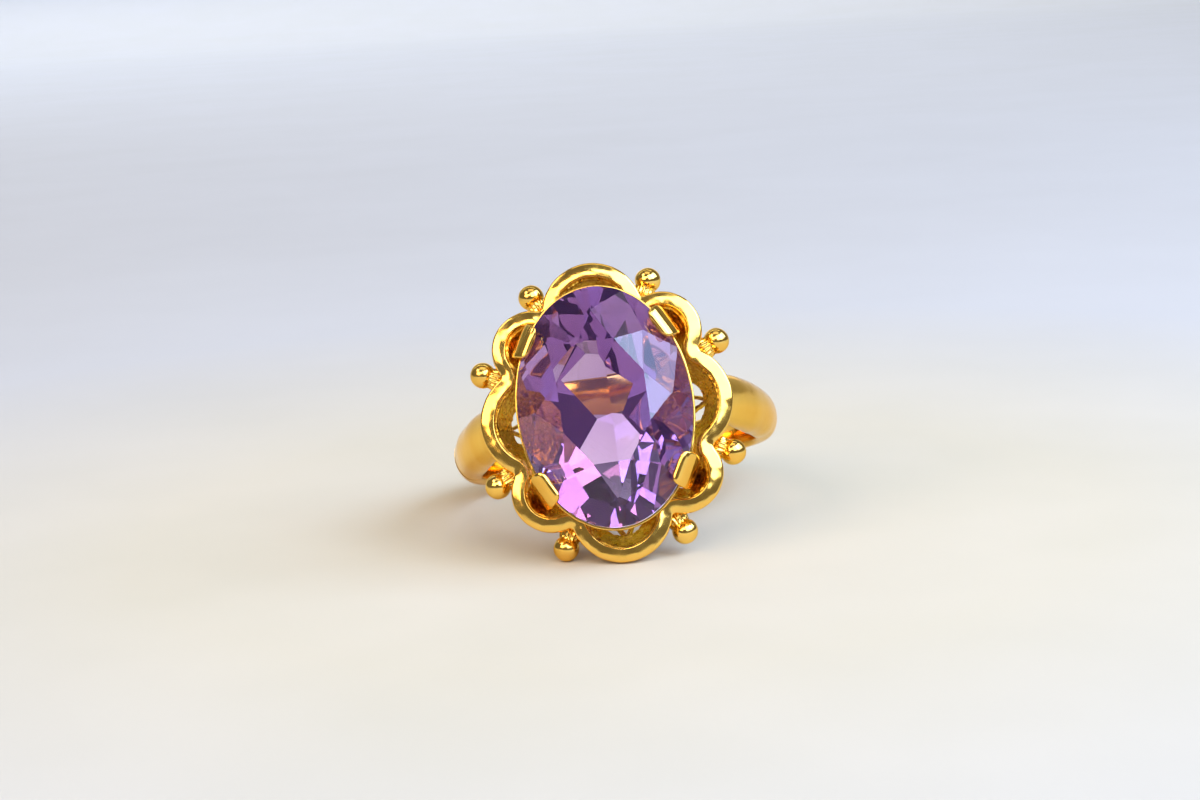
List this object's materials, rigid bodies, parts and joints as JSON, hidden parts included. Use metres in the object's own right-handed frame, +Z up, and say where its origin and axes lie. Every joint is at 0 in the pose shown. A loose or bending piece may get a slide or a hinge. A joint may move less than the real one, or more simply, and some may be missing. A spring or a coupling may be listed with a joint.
{
  "type": "cocktail ring",
  "caption": "Yellow gold ring with a faceted oval purple stone, claw set in a scalloped and beaded basket over a pierced gallery, on a tapering half-round band.",
  "frame": {"origin": "centre of the bounding box on the surface that the ring lies on", "axes": "+Z up, -Y the way the stone faces (leaning back), +Y from the head to the back of the band, +X to the right seen from in front of the stone"},
  "size_m": [0.0208, 0.0272, 0.0169],
  "materials": {
    "polished_gold": "polished",
    "cast_gold": "sand cast, granular",
    "stone": "polished facets"
  },
  "bodies": {
    "root": {"amethyst": "stone", "stone_seat": "polished_gold", "scalloped_rim": "polished_gold", "basket_wall": "cast_gold", "pierced_gallery": "cast_gold", "base_rail": "cast_gold", "claw_upper_right": "polished_gold", "claw_lower_right": "polished_gold", "claw_lower_left": "polished_gold", "claw_upper_left": "polished_gold", "bead_top_right": "polished_gold", "bead_right_upper": "polished_gold", "bead_right_lower": "polished_gold", "bead_bottom_right": "polished_gold", "bead_bottom_left": "polished_gold", "bead_left_lower": "polished_gold", "bead_left_upper": "polished_gold", "bead_top_left": "polished_gold", "shoulder_right": "polished_gold", "shoulder_left": "polished_gold", "band": "polished_gold"}
  },
  "joints": []
}
